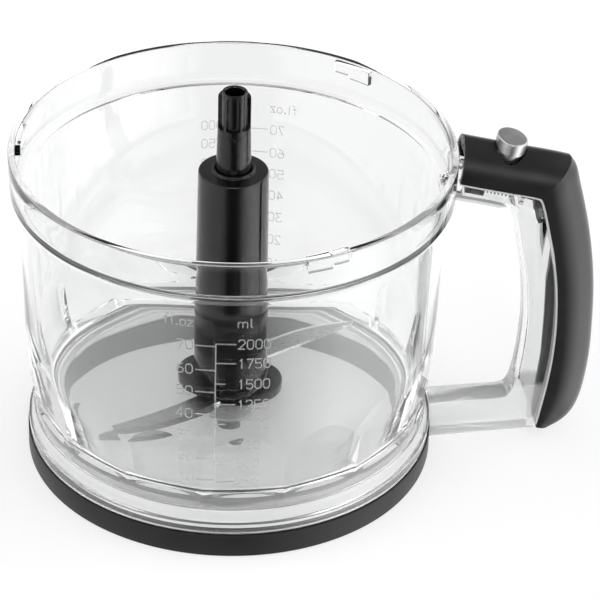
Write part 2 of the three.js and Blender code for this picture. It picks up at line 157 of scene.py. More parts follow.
def metal(name, c0, c1, r0, r1, scale, stretch=(1, 1, 1), aniso=0.0, bump=0.0):
    m, nt, b = new_mat(name)
    n = noise(nt, scale, 5.0, 0.6, stretch)
    nt.links.new(ramp_color(nt, n, c0, c1).outputs["Color"], b.inputs["Base Color"])
    nt.links.new(ramp_value(nt, n, r0, r1).outputs["Result"], b.inputs["Roughness"])
    b.inputs["Metallic"].default_value = 1.0
    b.inputs["Anisotropic"].default_value = aniso
    if bump:
        add_bump(nt, b, n, bump, 0.00005)
    return m


M_BOWL = clear("clear bowl", (0.905, 0.910, 0.912), (0.925, 0.928, 0.930), 0.0, 0.010, 1.49, 0.0, (0.0275, 0.25, 0.05))
M_FRAME = clear("clear handle", (0.925, 0.930, 0.932), (0.945, 0.949, 0.952), 0.01, 0.03, 1.47, 0.03, (0.0275, 0.30, 0.30))
# half milky and whiter than the frame: a painted highlight for the light edge line along the cover, on a real clear
# flange
M_LIP_PAINTED_HIGHLIGHT = clear("handle lip painted highlight", (0.95, 0.953, 0.955), (0.97, 0.972, 0.974), 0.15, 0.25, 1.47, 0.5)
M_GLOSS = plastic("gloss black", (0.002, 0.002, 0.0021), (0.0035, 0.0035, 0.0037), 0.07, 0.13, 40)
M_SATIN = plastic("satin black", (0.0045, 0.0045, 0.0047), (0.0068, 0.0068, 0.0071), 0.20, 0.27, 70, (1400, 0.04, 0.0002))
M_RING = plastic("base black", (0.008, 0.008, 0.0083), (0.0115, 0.0115, 0.0119), 0.44, 0.52, 60, (1200, 0.04, 0.0002), 0.24)
M_GREY = plastic("dark grey", (0.055, 0.055, 0.058), (0.075, 0.075, 0.078), 0.38, 0.48, 80)
M_PALE = plastic("pale bearing", (0.56, 0.56, 0.55), (0.66, 0.66, 0.65), 0.35, 0.45, 90)
M_MARK = clear("raised scale", (0.95, 0.955, 0.958), (0.97, 0.972, 0.974), 0.12, 0.22, 1.49, 0.20)
M_BLADE = metal("blade steel", (0.64, 0.645, 0.65), (0.76, 0.765, 0.77), 0.24, 0.36, 220, (1, 9, 1), 0.3, 0.03)
M_STEEL = metal("steel", (0.52, 0.53, 0.54), (0.64, 0.645, 0.65), 0.2, 0.32, 300)
M_WIRE = metal("spring wire", (0.20, 0.205, 0.21), (0.30, 0.305, 0.31), 0.26, 0.38, 500)
M_ALU = metal("brushed aluminium", (0.42, 0.423, 0.427), (0.54, 0.543, 0.547), 0.28, 0.42, 900, (1, 14, 1), 0.4, 0.10)

# ------------------------------------------------------------------ mesh helpers
def obj_from(name, verts, faces, mat, smooth=30.0, scale=MM):
    me = bpy.data.meshes.new(name)
    v = np.asarray(verts, float) * scale
    me.from_pydata([tuple(p) for p in v], [], [tuple(int(i) for i in f) for f in faces])
    me.validate()
    bm = bmesh.new()
    bm.from_mesh(me)
    bmesh.ops.recalc_face_normals(bm, faces=bm.faces)
    bm.to_mesh(me)
    bm.free()
    me.polygons.foreach_set("use_smooth", [True] * len(me.polygons))
    me.set_sharp_from_angle(angle=smooth * D2R)
    me.materials.append(mat)
    o = bpy.data.objects.new(name, me)
    COLL.objects.link(o)
    return o


def fillet(points, radii, n=5, closed=True):
    """Rounds each corner of a polygon of 2-D points by its radius."""
    out = []
    m = len(points)
    for i, p in enumerate(points):
        r = radii[i] if isinstance(radii, (list, tuple)) else radii
        if not closed and i in (0, m - 1) or r <= 0:
            out.append(tuple(p))
            continue
        p = np.array(p, float)
        a = np.array(points[(i - 1) % m], float) - p
        b = np.array(points[(i + 1) % m], float) - p
        la, lb = np.linalg.norm(a), np.linalg.norm(b)
        a, b = a / la, b / lb
        ang = math.acos(max(-1, min(1, float(a @ b))))
        if ang > math.pi - 0.02:
            out.append(tuple(p))
            continue
        t = min(r / math.tan(ang / 2), 0.48 * la, 0.48 * lb)
        r = t * math.tan(ang / 2)
        c = p + (a + b) / np.linalg.norm(a + b) * (r / math.sin(ang / 2))
        s, e = p + a * t - c, p + b * t - c
        a0, a1 = math.atan2(s[1], s[0]), math.atan2(e[1], e[0])
        d = (a1 - a0 + math.pi) % (2 * math.pi) - math.pi
        for k in range(n + 1):
            q = a0 + d * k / n
            out.append((c[0] + r * math.cos(q), c[1] + r * math.sin(q)))
    return out


def catmull(points, n=6, closed=False):
    P = [np.array(p, float) for p in points]
    out = []
    m = len(P)
    rng = range(m) if closed else range(m - 1)
    for i in rng:
        if closed:
            p0, p1, p2, p3 = P[(i - 1) % m], P[i], P[(i + 1) % m], P[(i + 2) % m]
        else:
            p0 = P[i - 1] if i else 2 * P[0] - P[1]
            p1, p2 = P[i], P[i + 1]
            p3 = P[i + 2] if i + 2 < m else 2 * P[-1] - P[-2]
        for k in range(n):
            t = k / n
            out.append(tuple(0.5 * (2 * p1 + (p2 - p0) * t + (2 * p0 - 5 * p1 + 4 * p2 - p3) * t * t + (3 * p1 - p0 - 3 * p2 + p3) * t ** 3)))
    if not closed:
        out.append(tuple(P[-1]))
    return out


def turned(name, profile, mat, seg=128, smooth=30.0):
    """Closed profile of (r, z) turned about Z; points on the axis are merged."""
    prof = np.array(profile, float)
    n = len(prof)
    verts, idx = [], np.zeros((seg, n), int)
    axis = {}
    for j in range(seg):
        a = 2 * math.pi * j / seg
        for i, (r, z) in enumerate(prof):
            if abs(r) < 1e-6:
                if i not in axis:
                    axis[i] = len(verts)
                    verts.append((0, 0, z))
                idx[j, i] = axis[i]
            else:
                idx[j, i] = len(verts)
                verts.append((r * math.cos(a), r * math.sin(a), z))
    faces = []
    closed = abs(prof[0, 0]) > 1e-6 or abs(prof[-1, 0]) > 1e-6
    for j in range(seg):
        k = (j + 1) % seg
        for i in range(n if closed else n - 1):
            q = (i + 1) % n
            f = [idx[j, i], idx[k, i], idx[k, q], idx[j, q]]
            f = [x for t, x in enumerate(f) if x not in f[:t]]
            if len(f) > 2:
                faces.append(f)
    return obj_from(name, verts, faces, mat, smooth)


def prism(name, poly, lo, hi, mat, plane="uz", smooth=30.0, bevel=0.0):
    """Polygon thickened: plane 'uz' along Y, plane 'xy' along Z."""
    n = len(poly)
    if plane == "uz":
        verts = [(p[0], lo, p[1]) for p in poly] + [(p[0], hi, p[1]) for p in poly]
    else:
        verts = [(p[0], p[1], lo) for p in poly] + [(p[0], p[1], hi) for p in poly]
    faces = [list(range(n))[::-1], list(range(n, 2 * n))]
    faces += [[i, (i + 1) % n, n + (i + 1) % n, n + i] for i in range(n)]
    o = obj_from(name, verts, faces, mat, smooth)
    if bevel:
        soften(o, bevel)
    return o


def soften(o, width, segments=3, angle=35.0):
    m = o.modifiers.new("edges", "BEVEL")
    m.width = width * MM
    m.segments = segments
    m.limit_method = "ANGLE"
    m.angle_limit = angle * D2R
    m.harden_normals = False
    return m


def cut(o, tool, op="DIFFERENCE"):
    m = o.modifiers.new("cut", "BOOLEAN")
    m.operation = op
    m.solver = "EXACT"
    m.object = tool
    bake(o)
    me = tool.data
    bpy.data.objects.remove(tool)
    bpy.data.meshes.remove(me)
    return o


def bake(o, smooth=None):
    bpy.context.view_layer.update()
    dg = bpy.context.evaluated_depsgraph_get()
    me = bpy.data.meshes.new_from_object(o.evaluated_get(dg), preserve_all_data_layers=True, depsgraph=dg)
    old = o.data
    o.modifiers.clear()
    o.data = me
    me.name = old.name
    bpy.data.meshes.remove(old)
    if smooth is not None:
        me.polygons.foreach_set("use_smooth", [True] * len(me.polygons))
        me.set_sharp_from_angle(angle=smooth * D2R)
    return o


def place(o, body, slot, *nodes):
    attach(o, body)
    if nodes:
        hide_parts(*nodes)
    return o


# ------------------------------------------------------------------ the bowl
RW, SLOPE, TOPZ = 91.45, 0.15, 63.0
LUG_AZ, LUG_W = (50.5, 170.5, -69.5), 11.5


def wall_low(z):
    return RW + (z - TOPZ) * 0.0113


def wall_high(z):
    # plain wall above the facets
    return float(np.interp(z, [63.0, 95.0, 130.0], [RW, 91.98, 92.45]))


def bowl():
    cols = {round(k * 0.9375, 4) for k in range(384)}
    for c in LUG_AZ:
        for d in (-LUG_W / 2 - 0.08, -LUG_W / 2, 1.15, 1.23, LUG_W / 2, LUG_W / 2 + 0.08):
            cols.add(round((c + d) % 360, 4))
    cols = sorted(cols)
    inner = catmull([(90.0, 130.4), (89.78, 118), (89.55, 98), (89.15, 80), (88.6, 64), (87.6, 52), (86.0, 43), (84.7, 36.5), (83.7, 32.0), (81.6, 28.2), (78.4, 25.7), (74.0, 24.85)], 4)
    inner = inner[:-1]
    tail = fillet([(74.0, 24.8), (9.3, 24.8), (9.3, 12.0), (11.5, 12.0), (11.5, 22.3), (78.0, 22.3), (82.6, 20.6), (84.3, 17.6), (87.2, 15.2), (87.2, 11.5), (90.7, 11.5), (90.7, 16.6), (89.4, 17.6), (88.4, 22.35)],
                  [0, 0.4, 0.3, 0.3, 0.8, 3, 2.5, 2.0, 1.2, 0.25, 0.35, 0.8, 0.9, 0.5], 4)
    band = fillet([(92.45, 130.0), (92.6, 131.0), (95.9, 131.9), (96.55, 134.0), (97.0, 150.4), (96.9, 151.7), (93.95, 151.7), (93.9, 150.95)], [0, 0.6, 1.0, 1.2, 0, 0.9, 0.55, 0], 5)
    N1, N2 = 12, 10
    verts, P = [], None
    bound_col, arch_idx = [], None
    for ci, az in enumerate(cols):
        k = round(az / 22.5)
        d = (az - 22.5 * k) * D2R
        cd = math.cos(d)
        q = RW * (1 - cd) / (SLOPE - 0.0113 * cd)
        zt = TOPZ - q
        pts = list(tail)
        pts += [(88.1, 22.6), (88.2, 29.4)]     # plain round band under the facets
        for i in range(2, N1 + 1):
            z = 30.6 + (zt - 30.6) * (i - 2) / (N1 - 2)
            pts.append(((RW - (TOPZ - z) * SLOPE) / cd if i < N1 else wall_low(zt), z))
        arch = len(pts) - 1
        for i in range(1, N2):
            z = zt + (130.0 - zt) * i / N2
            pts.append((wall_low(z) if z < TOPZ else wall_high(z), z))
        pts += list(band)
        lug_a = lug_b = False
        for c in LUG_AZ:
            e = (az - c + 180) % 360 - 180
            if abs(e) <= LUG_W / 2 + 1e-3:
                lug_a = True
                if e <= 1.15 + 1e-3:
                    lug_b = True
        R = 91.6
        pts += [(R if lug_a else 93.88, 150.8), (R if lug_a else 93.84, 145.8), (R if lug_b else 93.83, 145.65), (R if lug_b else 93.82, 144.4), (93.82, 144.2)]
        pts += fillet([(93.8, 141.0), (93.75, 135.9), (92.15, 134.8), (90.6, 133.1), (90.02, 131.2)], [0, 0.5, 0.5, 1.5, 0], 4, closed=False)
        pts += inner
        if P is None:
            P, arch_idx = len(pts), arch
        a = az * D2R
        verts += [(r * math.cos(a), r * math.sin(a), z) for r, z in pts]
        bound_col.append(abs(abs(d / D2R) - 11.25) < 1e-3)
    n = len(cols)
    faces = []
    for j in range(n):
        k = (j + 1) % n
        for i in range(P):
            q = (i + 1) % P
            faces.append((j * P + i, k * P + i, k * P + q, j * P + q))
    o = obj_from("bowl_clear", verts, faces, M_BOWL, 24.0)
    me = o.data
    ev = np.zeros(len(me.edges) * 2, int)
    me.edges.foreach_get("vertices", ev)
    ev = ev.reshape(-1, 2)
    c, i = ev // P, ev % P
    sharp = (i[:, 0] == arch_idx) & (i[:, 1] == arch_idx)
    bc = np.array(bound_col)
    low = len(tail)
    sharp |= (c[:, 0] == c[:, 1]) & bc[c[:, 0]] & (i.min(1) >= low) & (i.max(1) <= arch_idx)
    at = me.attributes.get("sharp_edge") or me.attributes.new("sharp_edge", "BOOLEAN", "EDGE")
    was = np.zeros(len(me.edges), bool)
    at.data.foreach_get("value", was)
    at.data.foreach_set("value", was | sharp)
    me.update()
    return o


place(bowl(), "housing", "clear_plastic", "bowl")

# ------------------------------------------------------------------ moulded volume scales
GLYPH = {
    "0": [[(0.25, 0), (0.75, 0), (1, 0.2), (1, 0.8), (0.75, 1), (0.25, 1), (0, 0.8), (0, 0.2), (0.25, 0)]],
    "1": [[(0.3, 0.8), (0.55, 1), (0.55, 0)]],
    "2": [[(0, 0.8), (0.2, 1), (0.8, 1), (1, 0.8), (1, 0.62), (0, 0.0), (1, 0)]],
    "3": [[(0, 1), (1, 1), (0.5, 0.58), (0.8, 0.55), (1, 0.36), (1, 0.18), (0.8, 0), (0.2, 0), (0, 0.18)]],
    "4": [[(0.75, 0), (0.75, 1), (0, 0.3), (1, 0.3)]],
    "5": [[(1, 1), (0.05, 1), (0, 0.55), (0.75, 0.58), (1, 0.4), (1, 0.18), (0.8, 0), (0.2, 0), (0, 0.15)]],
    "6": [[(0.9, 1), (0.3, 0.85), (0, 0.5), (0, 0.2), (0.25, 0), (0.75, 0), (1, 0.2), (1, 0.38), (0.75, 0.56), (0.25, 0.56), (0, 0.4)]],
    "7": [[(0, 1), (1, 1), (0.35, 0)]],
    "m": [[(0, 0), (0, 0.62)], [(0, 0.5), (0.15, 0.62), (0.38, 0.62), (0.5, 0.48), (0.5, 0)], [(0.5, 0.5), (0.65, 0.62), (0.88, 0.62), (1, 0.48), (1, 0)]],
    "l": [[(0.4, 1), (0.4, 0.1), (0.6, 0)]],
    "f": [[(0.85, 1), (0.55, 1), (0.4, 0.85), (0.4, 0)], [(0.05, 0.62), (0.8, 0.62)]],
    ".": [[(0.42, 0), (0.58, 0), (0.58, 0.1), (0.42, 0.1), (0.42, 0)]],
    "o": [[(0.2, 0), (0.8, 0), (1, 0.15), (1, 0.48), (0.8, 0.62), (0.2, 0.62), (0, 0.48), (0, 0.15), (0.2, 0)]],
    "z": [[(0, 0.62), (1, 0.62), (0, 0), (1, 0)]],
}


def scale_strokes():
    """Strokes of one scale as polylines of (arc mm from the line, height mm)."""
    S = []

    def text(word, x, z, w, h, gap, right=False):
        widths = [w * (0.4 if ch in ".l" else (1.25 if ch == "m" else 1.0)) for ch in word]
        total = sum(widths) + gap * (len(word) - 1)
        if right:
            x -= total
        for ch, cw in zip(word, widths):
            for st in GLYPH[ch]:
                if ch in ".l":
                    S.append([(x + (px - 0.3) * w, z + py * h) for px, py in st])
                else:
                    S.append([(x + px * cw, z + py * h) for px, py in st])
            x += cw + gap

    ml = [("2000", 110.7), ("1750", 101.1), ("1500", 90.7), ("1250", 80.3), ("1000", 70.1), ("750", 58.9), ("500", 48.2), ("250", 37.6)]
    oz = [("70", 109.4), ("60", 97.3), ("50", 86.2), ("40", 74.7), ("30", 63.0), ("20", 51.3), ("10", 39.0)]
    S.append([(0, 36.6), (0, 110.7)])
    for i, (t, z) in enumerate(ml):
        S.append([(0, z), (4.2 if t in ("1500", "1000", "500") else 8.4, z)])
        text(t, 9.3, z - 2.3, 2.55, 4.5, 0.95)
    for t, z in oz:
        S.append([(-8.3, z), (0, z)])
        text(t, -9.6, z - 2.3, 2.75, 4.5, 1.0, right=True)
    text("ml", 9.0, 119.0, 3.0, 4.4, 1.2)
    text("fl.oz", -9.2, 118.6, 2.4, 4.6, 0.85, right=True)
    return S


def raised(name, strokes, az0, width=0.5, height=0.32, root=0.08):
    """Thin raised ridges that follow the outside of the wall."""
    verts, faces = [], []

    def put(x, z, lift):
        zt = z
        r = (wall_high(zt) if zt >= TOPZ else wall_low(zt))
        k = round((az0 + x / 91.0 / D2R) / 22.5)
        az = az0 + x / 91.0 / D2R
        d = (az - 22.5 * k) * D2R
        r = min(r, (RW - (TOPZ - z) * SLOPE) / math.cos(d)) + lift
        verts.append((r * math.cos(az * D2R), r * math.sin(az * D2R), z))

    for st in strokes:
        pts = [np.array(p, float) for p in st]
        dense = [pts[0]]
        for a, b in zip(pts, pts[1:]):
            m = max(1, int(np.linalg.norm(b - a) / 1.6))
            dense += [a + (b - a) * (t + 1) / m for t in range(m)]
        pts = dense
        closed = np.linalg.norm(pts[0] - pts[-1]) < 1e-6
        base = len(verts)
        n = len(pts)
        for i, p in enumerate(pts):
            if closed:
                a = pts[i - 1] if i else pts[-2]
                b = pts[i + 1] if i + 1 < n else pts[1]
            else:
                a, b = pts[max(i - 1, 0)], pts[min(i + 1, n - 1)]
            u, v = p - a, b - p
            u = u / np.linalg.norm(u) if np.linalg.norm(u) > 1e-9 else v / np.linalg.norm(v)
            v = v / np.linalg.norm(v) if np.linalg.norm(v) > 1e-9 else u
            t = (u + v) / max(np.linalg.norm(u + v), 1e-6)
            nn = np.array([-t[1], t[0]])
            k = 1.0 / max(0.55, float(t @ u))
            q0, q1 = p + nn * width / 2 * k, p - nn * width / 2 * k
            e0, e1 = p + nn * width * 0.28 * k, p - nn * width * 0.28 * k
            put(*q0, -root)
            put(*e0, height)
            put(*e1, height)
            put(*q1, -root)
        for i in range(n - 1):
            for s in range(4):
                a, b = base + i * 4 + s, base + i * 4 + (s + 1) % 4
                faces.append((a, b, b + 4, a + 4))
        faces.append(tuple(base + s for s in range(4)))
        faces.append(tuple(base + (n - 1) * 4 + s for s in (3, 2, 1, 0)))
    return obj_from(name, verts, faces, M_MARK, 30.0)


strokes = scale_strokes()
for name, az, high, root in (("scale_front", -98.2, 0.32, 0.08), ("scale_back", 81.0, 0.03, 0.03)):
    place(raised(name, strokes, az, 0.5, high, root), "housing", "clear_plastic")

# ------------------------------------------------------------------ base ring
ring = fillet([(91.2, 0.0), (91.2, 11.2), (86.9, 11.2), (86.9, 12.6), (85.7, 12.6), (85.1, 0.0)], [0.7, 0.5, 0.2, 0.4, 0.4, 0.6], 5)
place(turned("base_ring_black", ring, M_RING, 256), "housing", "black_satin_plastic", "base_ring")

# ------------------------------------------------------------------ spindle, hub
def spindle():
    # splined top: radius varies round the axis
    seg = 480
    prof = [(0.0, 8.5), (4.5, 8.5), (4.5, 26.5), (7.35, 26.5), (7.65, 26.9), (7.65, 143.0), (7.15, 161.7), (7.1, 161.9)]
    prof = [(0.0, 8.5)] + fillet(prof[1:], [0.2, 0, 0, 0, 0, 0, 0], 3, closed=False)
    up = [(7.12, 162.05), (7.1, 162.3), (7.1, 170.0), (7.1, 175.9), (6.95, 176.7), (6.5, 177.5), (5.9, 178.15), (5.3, 178.5), (4.75, 178.5), (4.45, 178.35), (4.25, 178.0), (4.25, 164.5), (0.0, 164.5)]
    verts, rows = [], []
    for kind, lst in (("low", prof), ("up", up)):
        for r, z in lst:
            row = []
            if r == 0.0:
                row = [len(verts)] * seg
                verts.append((0, 0, z))
            else:
                for j in range(seg):
                    a = 2 * math.pi * j / seg
                    rr = r
                    if kind == "up" and r > 5.2 and 162.0 < z:
                        ph = (math.degrees(a) - 20.6) % 60.0
                        e = min(ph, 60.0 - ph)      # from a groove's centre
                        g = 1.0 / (1.0 + math.exp((e - 25.0) * 2.2))
                        rr = r - g * max(0.0, r - 5.6)
                    row.append(len(verts))
                    verts.append((rr * math.cos(a), rr * math.sin(a), z))
            rows.append(row)
    faces = []
    for A, B in zip(rows, rows[1:]):
        for j in range(seg):
            k = (j + 1) % seg
            f = [A[j], A[k], B[k], B[j]]
            f = [x for t, x in enumerate(f) if x not in f[:t]]
            if len(f) > 2:
                faces.append(f)
    return obj_from("spindle_black", verts, faces, M_GLOSS, 26.0)


place(spindle(), "spindle", "black_gloss_plastic", "spindle")


def lobe(sign, L, W, n=96):
    p = []
    for i in range(n):
        a = i / n * 2 * math.pi
        ca, sa = math.cos(a), math.sin(a)
        l = L if ca * sign > 0 else W
        p.append((l * math.copysign(abs(ca) ** 0.85, ca), W * math.copysign(abs(sa) ** 0.9, sa)))
    return p


hub_prof = fillet([(16.7, 26.8), (15.4, 137.6), (15.2, 140.0), (9.5, 140.0), (9.25, 141.3), (8.15, 141.3), (8.1, 134.0), (12.4, 133.4), (12.4, 41.0), (8.1, 40.4), (8.1, 26.8)],
                  [0.4, 0, 0.75, 0.25, 0.35, 0.3, 0, 0.5, 0.5, 0.3, 0.3], 6)
hub = turned("blade_hub_black", hub_prof, M_GLOSS, 160, 30.0)
place(hub, "blade", "black_gloss_plastic", "blade_hub")
for nm, sg, z0, z1 in (("hub_foot_low", 1, 26.8, 31.6), ("hub_foot_high", -1, 31.2, 36.6)):
    o = prism(nm, lobe(sg, 23.6, 16.9), z0, z1, M_GLOSS, "xy", 30.0)
    cut(o, turned("t", [(0.0, 20.0), (8.1, 20.0), (8.1, 45.0), (0.0, 45.0)], M_GLOSS, 96))
    soften(o, 0.9, 4)
    bake(o, 30.0)
    place(o, "blade", "black_gloss_plastic")

# ------------------------------------------------------------------ blades
PLAN = [(3.5, 12.9), (5.5, 17.0), (8.5, 21.6), (13.6, 25.4), (20, 29.2), (31, 35.4), (42, 39.5), (51, 41.8), (57.5, 42.6), (60.6, 42.0),
        (59.6, 39.9), (53.5, 35.4), (44, 29.6), (34, 23.4), (24.7, 17.8), (16.6, 12.4), (12.6, 8.2), (12.9, 3.0)]


def blade(name, z, turn):
    """A plate ground to an edge along its convex side."""
    outer = catmull(PLAN[1:10], 6)
    inner = catmull(PLAN[9:17], 6)
    root = [(12.9, 3.0), (8.0, 3.4), (3.4, 8.0), (3.5, 12.9)]
    path = outer + inner[1:] + root
    n = len(path)
    T = 1.5
    c = np.array([20.0, 17.0])
    verts, ground = [], len(outer)
    lower = [(p[0], p[1], z + 0.02) for p in path]
    top = []
    for i, p in enumerate(path):
        p = np.array(p, float)
        if i < ground:                       # the bevel runs back from the edge
            a, b = np.array(path[i - 1 if i else 0]), np.array(path[min(i + 1, n - 1)])
            t = (b - a) / max(np.linalg.norm(b - a), 1e-6)
            nn = np.array([-t[1], t[0]])
            if nn @ (c - p) < 0 and i < ground - 6:
                nn = -nn
            w = 3.0 * min(1.0, (ground - 1 - i) / 8.0 + 0.15) * min(1.0, i / 5.0 + 0.1)
            nn = nn if nn @ (np.array([30.0, 24.0]) - p) > 0 else -nn
            p = p + nn * w
        top.append((p[0], p[1], z + T))
    edge = [(path[i][0], path[i][1], z + (0.18 if i < ground else T - 0.1)) for i in range(n)]
    verts = lower + edge + top
    faces = [list(range(n))[::-1], list(range(2 * n, 3 * n))]
    for s in (0, n):
        faces += [[s + i, s + (i + 1) % n, s + n + (i + 1) % n, s + n + i] for i in range(n)]
    if turn:
        verts = [(-x, -y, zz) for x, y, zz in verts]
    return obj_from(name, verts, faces, M_BLADE, 18.0)


place(blade("blade_low_ground", 28.4, True), "blade", "blade_steel", "blade_lower")
place(blade("blade_high_ground", 32.8, False), "blade", "blade_steel", "blade_upper")

# ------------------------------------------------------------------ handle cover
ST = [(97.6, 137.0, 99.6, 154.3), (109, 134.3, 113.5, 151.1), (121, 131.6, 128.5, 147.7), (129.0, 129.9, 140.0, 145.1), (133.4, 128.6, 147.4, 143.1)]
ST2 = [(133.4, 128.6, 147.4, 143.1), (134.6, 126.6, 150.2, 138.6), (136.5, 120.5, 152.4, 130.5), (139.0, 110.0, 155.8, 117.5), (141.6, 98.5, 158.9, 103.2), (143.7, 85.0, 161.4, 87.6),
       (144.9, 72.0, 162.8, 73.0), (145.3, 58.0, 163.38, 57.4), (144.8, 44.0, 163.4, 42.0), (143.4, 30.5, 162.2, 27.6), (141.9, 20.5, 160.2, 17.0),
       (140.9, 14.2, 157.4, 10.4), (140.2, 10.2, 153.6, 6.7), (139.6, 7.0, 148.6, 4.6)]


def section(s, hw, arch, inset=0.0, n=40, low=0.0, square=1.0):
    L, O = np.array(s[:2]), np.array(s[2:])
    ln = np.linalg.norm(O - L)
    u = (O - L) / ln
    H = ln - inset
    a = min(arch, H * 0.86)
    base = H - a
    pts = [(-hw, low)]
    for i in range(n + 1):
        t = math.pi * i / n
        c, sn = math.cos(t), math.sin(t)
        pts.append((-hw * math.copysign(abs(c) ** square, c), base + a * abs(sn) ** square))
    pts.append((hw, low))
    return [(L[0] + u[0] * h, y, L[1] + u[1] * h) for y, h in pts]


def cover_shell(name, stations):
    """U-shaped channel: outer skin, inner skin and the two lips."""
    rows = []
    for s in stations:
        o = section(s, 11.62, 14.97)
        i = section(s, 9.45, 10.8, 2.2, square=0.86)
        o = [tuple(np.array(o[0]) * 1.0)] + o[1:]
        rows.append(o + i[::-1])
    M = len(rows[0])
    verts = [p for r in rows for p in r]
    faces = []
    for k in range(len(rows) - 1):
        for j in range(M):
            q = (j + 1) % M
            faces.append((k * M + j, k * M + q, (k + 1) * M + q, (k + 1) * M + j))
    h = M // 2
    for k, flip in ((0, True), (len(rows) - 1, False)):
        for j in range(h - 1):
            f = [k * M + j, k * M + j + 1, k * M + M - 2 - j, k * M + M - 1 - j]
            faces.append(f[::-1] if flip else f)
    return obj_from(name, verts, faces, M_SATIN, 28.0)


arm_st = catmull(ST, 6)
grip_st = catmull(ST2, 6)
cover_a = cover_shell("cover_arm", arm_st)
cover_b = cover_shell("cover_grip", grip_st)


def end_plate(name, s, depth, window=None):
    a = section(s, 11.2, 14.6)
    L, O = np.array(s[:2]), np.array(s[2:])
    u = (O - L) / np.linalg.norm(O - L)
    nrm = np.array([-u[1], u[0]]) * depth
    n = len(a)
    verts = a + [(p[0] + nrm[0], p[1], p[2] + nrm[1]) for p in a]
    faces = [list(range(n)), list(range(n, 2 * n))[::-1]] + [[i, (i + 1) % n, n + (i + 1) % n, n + i] for i in range(n)]
    return obj_from(name, verts, faces, M_SATIN, 28.0)


place(end_plate("cover_foot", (139.75, 7.6, 149.1, 5.2), 2.0), "housing", "black_satin_plastic")
wall = end_plate("cover_end", (98.0, 137.6, 99.7, 153.9), -1.8)
cut(wall, prism("t", [(94, 129), (103, 129), (103, 148.6), (94, 148.6)], -7.3, 7.3, M_SATIN))
place(wall, "housing", "black_satin_plastic")

TILT = 12.7 * D2R
BU, BZ = 121.0, 153.1
def tilted(o):
    m = Matrix.Translation((BU * MM, 0, BZ * MM)) @ Matrix.Rotation(TILT, 4, "Y")
    o.data.transform(m)
    return o


hole = turned("t", [(0.0, -10.5), (7.4, -10.5), (7.4, -4.2), (7.4, 4.0), (0.0, 4.0)], M_SATIN, 96)
hole.data.transform(Matrix.Diagonal((1.0, (6.8 * 1.21 + 0.6) / 7.4, 1.0, 1.0)))
tilted(hole)
cut(cover_a, hole)
bake(cover_a, 28.0)
place(cover_a, "housing", "black_satin_plastic", "handle_cover")
place(cover_b, "housing", "black_satin_plastic")

# ------------------------------------------------------------------ button
RISE, OVAL = 0.9, 1.21
bp = [(0.0, RISE), (2.0, RISE), (4.0, RISE - 0.03), (5.6, RISE - 0.09), (6.1, RISE - 0.14), (6.4, RISE - 0.24), (6.62, RISE - 0.42), (6.76, RISE - 0.7), (6.8, RISE - 1.0), (6.8, -5.1), (6.7, -5.2),
      (6.6, -5.3), (6.6, -9.3), (6.5, -9.4), (5.6, -9.4), (5.6, -5.4), (0.0, -5.4)]
btn = turned("button_brushed", bp, M_ALU, 128, 35.0)
for v in btn.data.vertices:
    if v.co.z > -5.25 * MM:
        v.co.y *= OVAL
tilted(btn)
place(btn, "button", "brushed_aluminium", "release_button")

# ------------------------------------------------------------------ clear handle frame
OUT = [(88, 127.9), (96.9, 126.2), (107.8, 123.8), (116.9, 121.5), (120.6, 119.6), (122.6, 116.6), (123.6, 113.2), (125.2, 107.0), (127.5, 95),
       (129.6, 84), (130.9, 71.5), (131.5, 60), (130.9, 45), (129.9, 35), (128.6, 27.5), (126.8, 22.9), (123.2, 20.6), (108, 19.6), (84, 18.3)]
REST = [(84, 0.6), (92, 0.6), (139.2, 4.0), (139.2, 10.6), (142.4, 11.6), (144.6, 16), (147.5, 31), (149.1, 51.8), (149.3, 68),
        (148.4, 80), (146.8, 93), (152.6, 93.4), (152.6, 95.6), (146.2, 97.6), (145.2, 101), (141.6, 118), (139.2, 127.0), (136.4, 131.6), (121, 135.9), (98, 141.0), (86, 143.6)]
frame_o = prism("handle_frame_clear", catmull(OUT, 5) + REST, -6.8, 6.8, M_FRAME, "uz", 24.0)
CH_IN = [(108.2, 125.9), (117.6, 123.5), (122.4, 121.0), (124.7, 117.6), (125.8, 113.6), (127.3, 107.4), (129.6, 95.3),
         (131.7, 84.2), (133.0, 71.6), (133.6, 60), (133.0, 44.8), (132.0, 34.6), (131.4, 29.4)]
cut(frame_o, prism("t", [(99.6, 160), (99.6, 127.8)] + catmull(CH_IN, 4) + [(135.6, 19.0), (136.2, -6), (160, -6), (160, 92.6), (147.2, 92.6), (147.2, 93.0), (146.9, 95.9), (160, 95.9), (160, 160)], -4.7, 4.7, M_FRAME))
cut(frame_o, turned("t", [(0.0, -5), (91.5, -5), (91.5, 11.4), (91.1, 17.0), (89.0, 22.4), (91.6, 26), (91.8, 63.0), (92.95, 130.2), (94.9, 130.8),
                          (96.6, 132.0), (97.2, 136), (97.4, 160), (0.0, 160)], M_FRAME, 256))
def bar(name, r, a, b, mat, seg=32):
    a, b = Vector(a), Vector(b)
    o = turned(name, [(0.0, 0.0), (r, 0.0), (r, (b - a).length), (0.0, (b - a).length)], mat, seg)
    q = (b - a).to_track_quat("Z", "Y").to_matrix().to_4x4()
    o.data.transform(Matrix.Translation(a * MM) @ q)
    return o
cut(frame_o, bar("t", 1.8, (135.8, -9, 117.5), (135.8, 9, 117.5), M_FRAME))
soften(frame_o, 0.35, 2, 40)
bake(frame_o, 24.0)
place(frame_o, "housing", "clear_plastic", "handle_frame")
